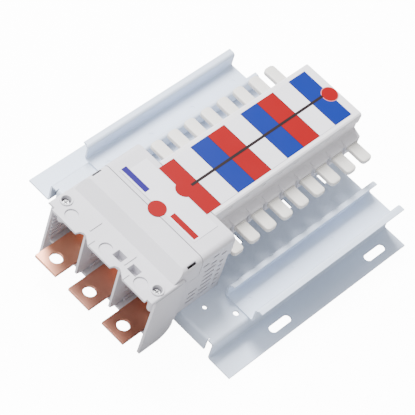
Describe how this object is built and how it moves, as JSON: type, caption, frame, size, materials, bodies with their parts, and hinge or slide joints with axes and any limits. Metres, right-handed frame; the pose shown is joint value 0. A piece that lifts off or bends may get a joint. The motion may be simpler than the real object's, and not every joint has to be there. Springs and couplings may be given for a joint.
{
  "type": "busbar chassis for miniature circuit breakers",
  "caption": "Folded steel pan with two breaker rails, an insulated three-phase busbar stack with capped tee-off fingers on both sides, and an incomer with copper terminal flags.",
  "frame": {"origin": "centre of the bounding box, in the plane that the pan's flanges stand on", "axes": "+X across the rails to the right, +Y along the busbars away from the incomer, +Z out of the back plate towards the covers"},
  "size_m": [0.225, 0.26, 0.0813],
  "materials": {
    "coated_steel": "satin",
    "stack_plastic": "fine moulded texture",
    "incomer_plastic": "fine moulded texture",
    "cap_plastic": "soft satin",
    "label_film": "printed film with red, white and blue fields",
    "copper": null,
    "zinc_steel": "bright zinc plate"
  },
  "bodies": {
    "chassis": {"pan": "coated_steel", "rail_left": "coated_steel", "rail_right": "coated_steel", "stack_base": "stack_plastic", "bar_supports": "stack_plastic", "stack_housing": "stack_plastic", "end_plate": "stack_plastic", "busbar_red": "copper", "busbar_white": "copper", "busbar_blue": "copper", "stabs_red": "copper", "stabs_white": "copper", "stabs_blue": "copper", "stab_rivets": "zinc_steel", "incomer_base": "incomer_plastic", "rear_cover": "incomer_plastic", "incomer_label": "label_film", "terminal_red": "copper", "terminal_white": "copper", "terminal_blue": "copper", "link_bolts": "zinc_steel", "link_nuts": "zinc_steel", "stack_screws": "zinc_steel", "incomer_screws": "zinc_steel"},
    "stack_cover": {"stack_cover": "stack_plastic", "phase_label": "label_film"},
    "front_cover": {"front_cover": "incomer_plastic"},
    "cover_screw_left": {"cover_screw_left": "zinc_steel"},
    "cover_screw_right": {"cover_screw_right": "zinc_steel"},
    "barrier_left": {"barrier_left": "incomer_plastic"},
    "barrier_right": {"barrier_right": "incomer_plastic"},
    "cap_left_1": {"cap_left_1": "cap_plastic"},
    "cap_left_2": {"cap_left_2": "cap_plastic"},
    "cap_left_3": {"cap_left_3": "cap_plastic"},
    "cap_left_4": {"cap_left_4": "cap_plastic"},
    "cap_left_5": {"cap_left_5": "cap_plastic"},
    "cap_left_6": {"cap_left_6": "cap_plastic"},
    "cap_left_7": {"cap_left_7": "cap_plastic"},
    "cap_left_8": {"cap_left_8": "cap_plastic"},
    "cap_left_9": {"cap_left_9": "cap_plastic"},
    "cap_right_1": {"cap_right_1": "cap_plastic"},
    "cap_right_2": {"cap_right_2": "cap_plastic"},
    "cap_right_3": {"cap_right_3": "cap_plastic"},
    "cap_right_4": {"cap_right_4": "cap_plastic"},
    "cap_right_5": {"cap_right_5": "cap_plastic"},
    "cap_right_6": {"cap_right_6": "cap_plastic"},
    "cap_right_7": {"cap_right_7": "cap_plastic"},
    "cap_right_8": {"cap_right_8": "cap_plastic"},
    "cap_right_9": {"cap_right_9": "cap_plastic"}
  },
  "joints": [
    {"name": "stack_cover_lift", "type": "slide", "parent": "chassis", "child": "stack_cover", "axis": [0, 0, 1], "range_m": [0, 0.02]},
    {"name": "front_cover_lift", "type": "slide", "parent": "chassis", "child": "front_cover", "axis": [0, 0, 1], "range_m": [0, 0.03]},
    {"name": "cover_screw_left_turn", "type": "hinge", "parent": "front_cover", "child": "cover_screw_left", "pos_m": [-0.049, -0.108, 0.0695], "axis": [0, 0, 1], "continuous": true},
    {"name": "cover_screw_right_turn", "type": "hinge", "parent": "front_cover", "child": "cover_screw_right", "pos_m": [0.049, -0.108, 0.0695], "axis": [0, 0, 1], "continuous": true},
    {"name": "barrier_left_slide", "type": "slide", "parent": "chassis", "child": "barrier_left", "axis": [0, -1, 0], "range_m": [0, 0.025]},
    {"name": "barrier_right_slide", "type": "slide", "parent": "chassis", "child": "barrier_right", "axis": [0, -1, 0], "range_m": [0, 0.025]},
    {"name": "cap_left_1_pull", "type": "slide", "parent": "chassis", "child": "cap_left_1", "axis": [-1, 0, 0], "range_m": [0, 0.018]},
    {"name": "cap_left_2_pull", "type": "slide", "parent": "chassis", "child": "cap_left_2", "axis": [-1, 0, 0], "range_m": [0, 0.018]},
    {"name": "cap_left_3_pull", "type": "slide", "parent": "chassis", "child": "cap_left_3", "axis": [-1, 0, 0], "range_m": [0, 0.018]},
    {"name": "cap_left_4_pull", "type": "slide", "parent": "chassis", "child": "cap_left_4", "axis": [-1, 0, 0], "range_m": [0, 0.018]},
    {"name": "cap_left_5_pull", "type": "slide", "parent": "chassis", "child": "cap_left_5", "axis": [-1, 0, 0], "range_m": [0, 0.018]},
    {"name": "cap_left_6_pull", "type": "slide", "parent": "chassis", "child": "cap_left_6", "axis": [-1, 0, 0], "range_m": [0, 0.018]},
    {"name": "cap_left_7_pull", "type": "slide", "parent": "chassis", "child": "cap_left_7", "axis": [-1, 0, 0], "range_m": [0, 0.018]},
    {"name": "cap_left_8_pull", "type": "slide", "parent": "chassis", "child": "cap_left_8", "axis": [-1, 0, 0], "range_m": [0, 0.018]},
    {"name": "cap_left_9_pull", "type": "slide", "parent": "chassis", "child": "cap_left_9", "axis": [-1, 0, 0], "range_m": [0, 0.018]},
    {"name": "cap_right_1_pull", "type": "slide", "parent": "chassis", "child": "cap_right_1", "axis": [1, 0, 0], "range_m": [0, 0.018]},
    {"name": "cap_right_2_pull", "type": "slide", "parent": "chassis", "child": "cap_right_2", "axis": [1, 0, 0], "range_m": [0, 0.018]},
    {"name": "cap_right_3_pull", "type": "slide", "parent": "chassis", "child": "cap_right_3", "axis": [1, 0, 0], "range_m": [0, 0.018]},
    {"name": "cap_right_4_pull", "type": "slide", "parent": "chassis", "child": "cap_right_4", "axis": [1, 0, 0], "range_m": [0, 0.018]},
    {"name": "cap_right_5_pull", "type": "slide", "parent": "chassis", "child": "cap_right_5", "axis": [1, 0, 0], "range_m": [0, 0.018]},
    {"name": "cap_right_6_pull", "type": "slide", "parent": "chassis", "child": "cap_right_6", "axis": [1, 0, 0], "range_m": [0, 0.018]},
    {"name": "cap_right_7_pull", "type": "slide", "parent": "chassis", "child": "cap_right_7", "axis": [1, 0, 0], "range_m": [0, 0.018]},
    {"name": "cap_right_8_pull", "type": "slide", "parent": "chassis", "child": "cap_right_8", "axis": [1, 0, 0], "range_m": [0, 0.018]},
    {"name": "cap_right_9_pull", "type": "slide", "parent": "chassis", "child": "cap_right_9", "axis": [1, 0, 0], "range_m": [0, 0.018]}
  ]
}
